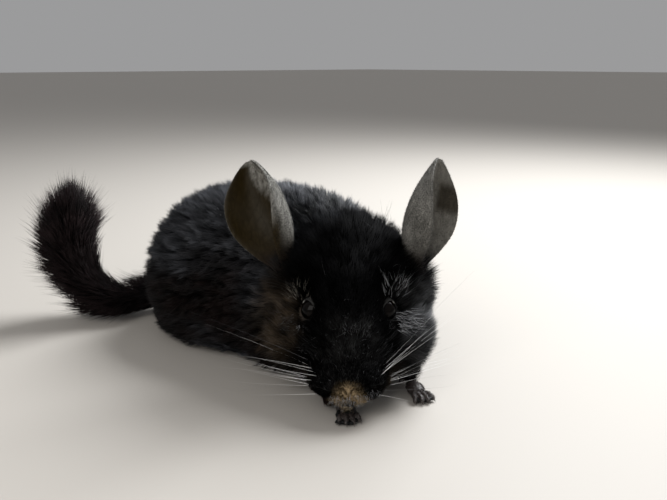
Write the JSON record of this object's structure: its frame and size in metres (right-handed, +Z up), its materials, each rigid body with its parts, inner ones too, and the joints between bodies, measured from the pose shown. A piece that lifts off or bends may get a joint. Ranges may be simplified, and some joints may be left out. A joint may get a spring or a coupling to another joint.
{
  "type": "black chinchilla figure",
  "caption": "Life-size still figure of a black chinchilla crouched low, its head turned to one side and lowered, with upright rounded ears and a bushy tail curled up at the end.",
  "frame": {"origin": "middle of the bounding box, on the floor that the animal rests on", "axes": "the trunk points along -Y, with the head turned towards -X, the animal's right; the tail trails at +Y; +Z is up"},
  "size_m": [0.152, 0.253, 0.1159],
  "materials": {
    "black_fur": "dense soft matte fur",
    "brown_fur": "dense soft matte fur, slightly warm",
    "ear_skin": "thin soft skin with fine short hair",
    "paw_skin": "soft skin with very short hair",
    "eye": "wet gloss"
  },
  "bodies": {
    "root": {"abdomen": "black_fur", "chest": "black_fur", "ear_left": "ear_skin", "ear_right": "ear_skin", "eye_left": "eye", "eye_right": "eye", "forearm_left": "black_fur", "forearm_right": "black_fur", "forepaw_left": "paw_skin", "forepaw_right": "paw_skin", "head": "black_fur", "hind_foot_left": "paw_skin", "hind_foot_right": "paw_skin", "lower_jaw": "brown_fur", "neck": "black_fur", "rump": "black_fur", "shank_left": "black_fur", "shank_right": "black_fur", "tail_base": "brown_fur", "tail_middle": "brown_fur", "tail_tip": "brown_fur", "thigh_left": "black_fur", "thigh_right": "black_fur", "upper_arm_left": "black_fur", "upper_arm_right": "black_fur"}
  },
  "joints": []
}
